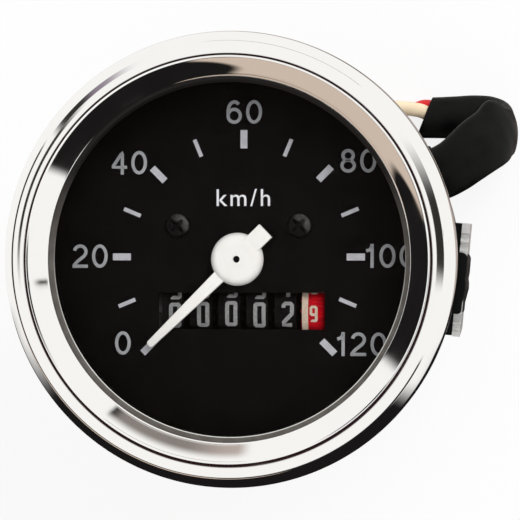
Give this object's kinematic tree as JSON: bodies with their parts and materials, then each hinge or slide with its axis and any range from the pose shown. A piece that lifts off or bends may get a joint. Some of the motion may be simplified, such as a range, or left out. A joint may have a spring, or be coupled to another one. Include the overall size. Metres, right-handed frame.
{
  "type": "speedometer",
  "caption": "Round magnetic drag speedometer with a chrome bezel, a drum distance counter, a cable nozzle, a clamping bracket and a lighting lead.",
  "frame": {"origin": "centre of the open end of the cable nozzle, on the pointer's axis, which is also the height that the nozzle and the studs stand on", "axes": "+Z along the pointer's axis out of the dial, +Y towards the top of the dial, +X towards its right as the driver sees it"},
  "size_m": [0.0728, 0.0668, 0.0739],
  "materials": {
    "chrome": "bright rolled chrome",
    "glass": "clear flat glass",
    "seal_rubber": "matt black rubber",
    "case_paint": "semi gloss black paint on steel",
    "dial_paint": "satin black with printed scale",
    "blackened_steel": "blackened screws",
    "zinc": "bright zinc plate",
    "steel": "turned steel",
    "die_cast": "die cast alloy",
    "brass": "turned brass",
    "cup_aluminium": "spun aluminium",
    "magnet_alloy": "dark sintered magnet",
    "spring_steel": "blued spring steel",
    "pointer_paint": "off-white paint",
    "drum_black": "black with printed figures",
    "drum_red": "red with printed figures",
    "pinion_nylon": "natural nylon",
    "bulb": "clear bulb",
    "sleeve_pvc": "soft black PVC",
    "wire_red_pvc": "red PVC",
    "wire_cream_pvc": "cream PVC",
    "boot_rubber": "black moulded rubber"
  },
  "bodies": {
    "case": {"case_shell": "case_paint", "bezel_ring": "chrome", "lens_glass": "glass", "lens_gasket": "seal_rubber", "dial_plate": "dial_paint", "dial_screws": "blackened_steel", "movement_base": "die_cast", "movement_top": "die_cast", "movement_screws": "zinc", "counter_cheek_left": "zinc", "counter_cheek_right": "zinc", "counter_shaft": "steel", "transfer_shaft": "steel", "spindle_bush": "brass", "drive_bush": "brass", "cable_nozzle": "zinc", "mounting_studs": "zinc", "mounting_bracket": "zinc", "bracket_pads": "boot_rubber", "stud_washers": "zinc", "stud_nuts": "zinc", "bulb_holder": "steel", "bulb_cap": "brass", "bulb_glass": "bulb", "lead_boot": "boot_rubber", "lead_sleeve": "sleeve_pvc", "wire_red": "wire_red_pvc", "wire_cream": "wire_cream_pvc", "terminal_red": "wire_red_pvc", "terminal_cream": "wire_cream_pvc", "spring_stud": "brass", "hairspring": "spring_steel"},
    "pointer_set": {"pointer": "pointer_paint", "pointer_spindle": "steel", "drag_cup": "cup_aluminium", "spring_collet": "brass"},
    "drive_set": {"drive_spindle": "steel", "magnet": "magnet_alloy", "field_cup": "zinc", "drive_worm": "brass"},
    "cross_set": {"cross_shaft": "steel", "cross_wheel": "brass", "cross_worm": "brass"},
    "upright_set": {"upright_shaft": "steel", "upright_wheel": "brass", "upright_worm": "brass"},
    "drum_6_set": {"drum_6": "drum_red", "drum_wheel": "brass"},
    "drum_1_set": {"drum_1": "drum_black"},
    "pinion_1_set": {"transfer_pinion_1": "pinion_nylon"},
    "drum_2_set": {"drum_2": "drum_black"},
    "pinion_2_set": {"transfer_pinion_2": "pinion_nylon"},
    "drum_3_set": {"drum_3": "drum_black"},
    "pinion_3_set": {"transfer_pinion_3": "pinion_nylon"},
    "drum_4_set": {"drum_4": "drum_black"},
    "pinion_4_set": {"transfer_pinion_4": "pinion_nylon"},
    "drum_5_set": {"drum_5": "drum_black"},
    "pinion_5_set": {"transfer_pinion_5": "pinion_nylon"}
  },
  "joints": [
    {"name": "pointer_turn", "type": "hinge", "parent": "case", "child": "pointer_set", "pos_m": [0, 0, 0.05], "axis": [0, 0, -1], "range_deg": [0, 272], "stiffness_Nm_per_rad": 0.00005, "springref_deg": -20.05},
    {"name": "drive_turn", "type": "hinge", "parent": "case", "child": "drive_set", "pos_m": [0, 0, 0.02], "axis": [0, 0, -1], "continuous": true},
    {"name": "cross_turn", "type": "hinge", "parent": "case", "child": "cross_set", "pos_m": [0, 0.0062, 0.0298], "axis": [1, 0, 0], "continuous": true},
    {"name": "upright_turn", "type": "hinge", "parent": "case", "child": "upright_set", "pos_m": [0.0151, -0.0024, 0.03], "axis": [0, 0, 1], "continuous": true},
    {"name": "drum_6_turn", "type": "hinge", "parent": "case", "child": "drum_6_set", "pos_m": [0.01117, -0.008, 0.0536], "axis": [-1, 0, 0], "continuous": true},
    {"name": "drum_5_turn", "type": "hinge", "parent": "case", "child": "drum_5_set", "pos_m": [0.0069, -0.008, 0.0536], "axis": [-1, 0, 0], "continuous": true},
    {"name": "drum_4_turn", "type": "hinge", "parent": "case", "child": "drum_4_set", "pos_m": [0.00264, -0.008, 0.0536], "axis": [-1, 0, 0], "continuous": true},
    {"name": "drum_3_turn", "type": "hinge", "parent": "case", "child": "drum_3_set", "pos_m": [-0.00163, -0.008, 0.0536], "axis": [-1, 0, 0], "continuous": true},
    {"name": "drum_2_turn", "type": "hinge", "parent": "case", "child": "drum_2_set", "pos_m": [-0.0059, -0.008, 0.0536], "axis": [-1, 0, 0], "continuous": true},
    {"name": "drum_1_turn", "type": "hinge", "parent": "case", "child": "drum_1_set", "pos_m": [-0.01018, -0.008, 0.0536], "axis": [-1, 0, 0], "continuous": true},
    {"name": "pinion_5_turn", "type": "hinge", "parent": "case", "child": "pinion_5_set", "pos_m": [0.00901, -0.01532, 0.0509], "axis": [-1, 0, 0], "continuous": true},
    {"name": "pinion_4_turn", "type": "hinge", "parent": "case", "child": "pinion_4_set", "pos_m": [0.00473, -0.01532, 0.0509], "axis": [-1, 0, 0], "continuous": true},
    {"name": "pinion_3_turn", "type": "hinge", "parent": "case", "child": "pinion_3_set", "pos_m": [0.00047, -0.01532, 0.0509], "axis": [-1, 0, 0], "continuous": true},
    {"name": "pinion_2_turn", "type": "hinge", "parent": "case", "child": "pinion_2_set", "pos_m": [-0.0038, -0.01532, 0.0509], "axis": [-1, 0, 0], "continuous": true},
    {"name": "pinion_1_turn", "type": "hinge", "parent": "case", "child": "pinion_1_set", "pos_m": [-0.00808, -0.01532, 0.0509], "axis": [-1, 0, 0], "continuous": true}
  ],
  "couplings": [
    {"joint": "cross_turn", "follows": "drive_turn", "ratio": 0.1},
    {"joint": "upright_turn", "follows": "drive_turn", "ratio": 0.01},
    {"joint": "drum_6_turn", "follows": "drive_turn", "ratio": 0.001},
    {"joint": "drum_5_turn", "follows": "drive_turn", "ratio": 0.0001},
    {"joint": "drum_4_turn", "follows": "drive_turn", "ratio": 0.00001},
    {"joint": "drum_3_turn", "follows": "drive_turn", "ratio": 0.000001},
    {"joint": "drum_2_turn", "follows": "drive_turn", "ratio": 0.0000001},
    {"joint": "drum_1_turn", "follows": "drive_turn", "ratio": 0.00000001},
    {"joint": "pinion_5_turn", "follows": "drive_turn", "ratio": -0.00025},
    {"joint": "pinion_4_turn", "follows": "drive_turn", "ratio": -0.000025},
    {"joint": "pinion_3_turn", "follows": "drive_turn", "ratio": -0.0000025},
    {"joint": "pinion_2_turn", "follows": "drive_turn", "ratio": -0.00000025},
    {"joint": "pinion_1_turn", "follows": "drive_turn", "ratio": -0.000000025}
  ]
}
